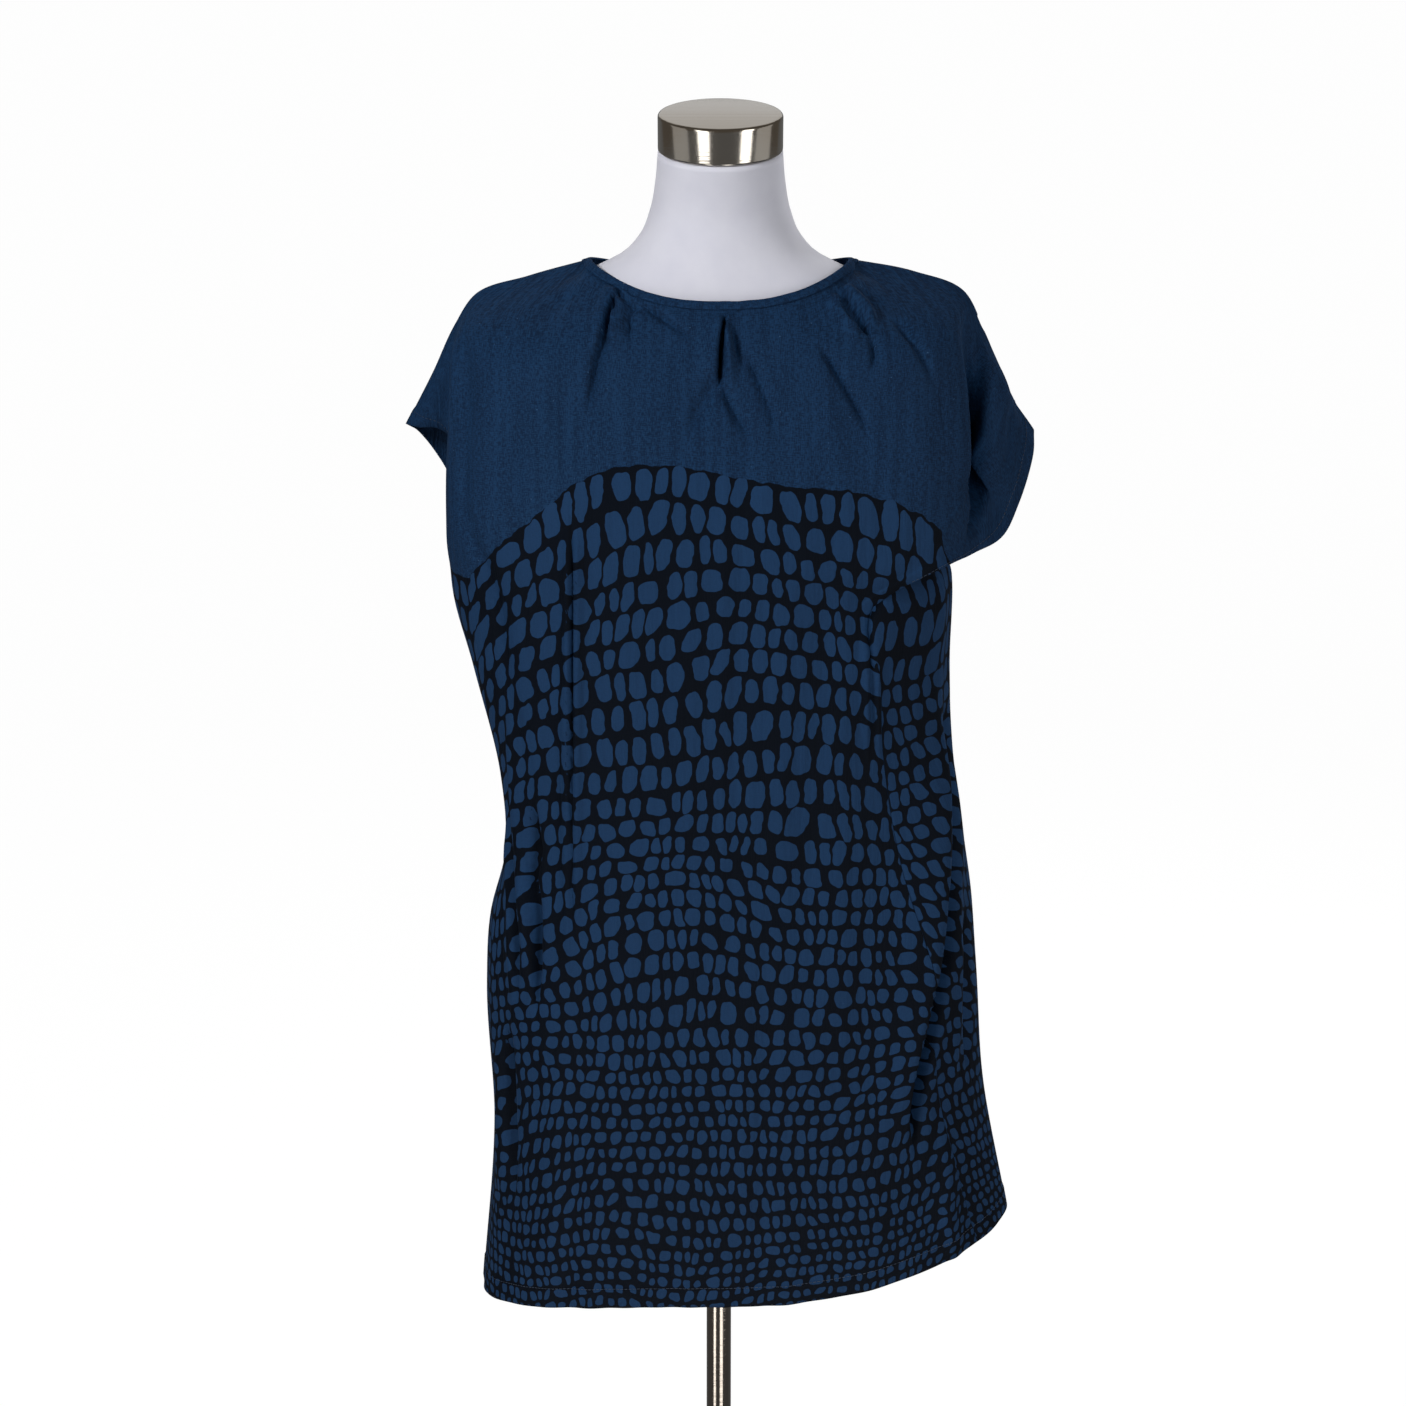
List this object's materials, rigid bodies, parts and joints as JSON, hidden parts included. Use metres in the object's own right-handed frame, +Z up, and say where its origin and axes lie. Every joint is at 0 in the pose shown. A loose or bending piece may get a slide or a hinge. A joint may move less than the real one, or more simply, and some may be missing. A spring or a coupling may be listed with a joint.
{
  "type": "tunic top on a limbless dress form",
  "caption": "Boxy short-sleeved tunic top with a round bound neck and neckline tucks, worn by a limbless display form on a pole with a round base.",
  "frame": {"origin": "middle of the round base's underside, on the floor, under the pole's axis", "axes": "+Z up along the pole, -Y towards the front of the tunic, +X to the right in a front view (the wearer's left)"},
  "size_m": [0.5326, 0.34, 1.5285],
  "materials": {
    "tunic_cloth": "soft matte viscose crepe with a printed pattern",
    "binding_cloth": "soft matte viscose crepe",
    "form_cover": "white jersey stretched smooth",
    "polished_steel": "polished",
    "base_steel": "satin"
  },
  "bodies": {
    "root": {"front_panel": "tunic_cloth", "back_panel": "tunic_cloth", "neck_binding": "binding_cloth", "form_body": "form_cover", "neck_cap": "polished_steel", "pole": "polished_steel", "base": "base_steel"}
  },
  "joints": []
}
